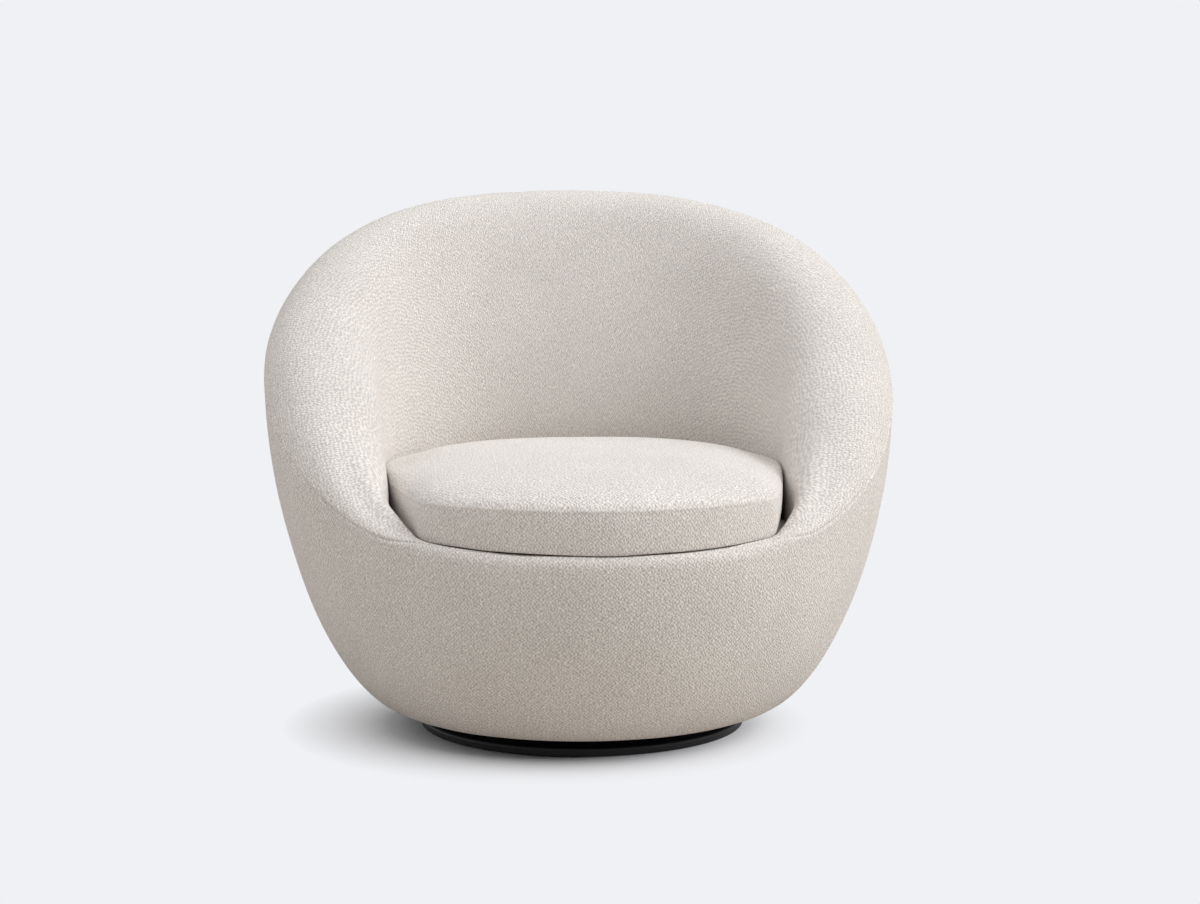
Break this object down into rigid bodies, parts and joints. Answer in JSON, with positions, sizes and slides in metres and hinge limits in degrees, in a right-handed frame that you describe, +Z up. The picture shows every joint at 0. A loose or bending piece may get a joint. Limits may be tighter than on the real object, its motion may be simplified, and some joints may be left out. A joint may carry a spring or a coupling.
{
  "type": "swivel tub chair",
  "caption": "Round upholstered tub chair with a sloping rolled rim and a loose seat cushion, turning on a low disc base.",
  "frame": {"origin": "on the floor, on the axis that the tub turns about, under the middle of the tub", "axes": "+Z up; -Y is the way the sitter faces; +X is the sitter's left hand"},
  "size_m": [0.8732, 0.7873, 0.7358],
  "materials": {
    "upholstery": "nubby woven, matt",
    "lining": "thin non-woven cloth, matt",
    "platform_cloth": "plain woven platform cloth, matt",
    "webbing": "elastic webbing, matt",
    "foam": "open-cell foam, matt",
    "wadding": "polyester wadding, matt",
    "plywood": "raw birch plywood",
    "base_paint": "black powder coat, satin",
    "plated_steel": "zinc plated",
    "roller_steel": "ground",
    "cage_plastic": "natural nylon",
    "felt": "pressed felt"
  },
  "bodies": {
    "base": {"base_plate": "base_paint", "floor_glides": "felt", "lower_swivel_plate": "plated_steel", "pivot_stud": "plated_steel", "lock_nut": "plated_steel"},
    "roller_ring": {"roller_cage": "cage_plastic", "rollers": "roller_steel"},
    "tub": {"upper_swivel_plate": "plated_steel", "pivot_bush": "cage_plastic", "bottom_board": "plywood", "seat_ring": "plywood", "top_rail": "plywood", "seat_straps_long": "webbing", "seat_straps_cross": "webbing", "back_straps": "webbing", "tub_foam": "foam", "deck_pad": "foam", "deck_cloth": "platform_cloth", "dust_cover": "lining", "rim_cover": "upholstery", "outer_front_cover": "upholstery", "outer_back_cover": "upholstery", "back_rib_1": "plywood", "back_rib_2": "plywood", "back_rib_3": "plywood", "left_rib_1": "plywood", "left_rib_2": "plywood", "left_rib_3": "plywood", "right_rib_1": "plywood", "right_rib_2": "plywood", "right_rib_3": "plywood", "front_rib_1": "plywood", "front_rib_2": "plywood", "front_rib_3": "plywood"},
    "cushion": {"cushion_top_panel": "upholstery", "cushion_side_band": "upholstery", "cushion_bottom_panel": "lining", "cushion_wadding": "wadding", "cushion_core": "foam"}
  },
  "joints": [
    {"name": "swivel", "type": "hinge", "parent": "base", "child": "tub", "pos_m": [0, 0, 0], "axis": [0, 0, 1], "continuous": true},
    {"name": "roller_ring_turn", "type": "hinge", "parent": "base", "child": "roller_ring", "pos_m": [0, 0, 0], "axis": [0, 0, 1], "continuous": true},
    {"name": "cushion_lift", "type": "slide", "parent": "tub", "child": "cushion", "axis": [0, 0, 1], "range_m": [0, 0.25]}
  ],
  "couplings": [
    {"joint": "roller_ring_turn", "follows": "swivel", "ratio": 0.5}
  ]
}
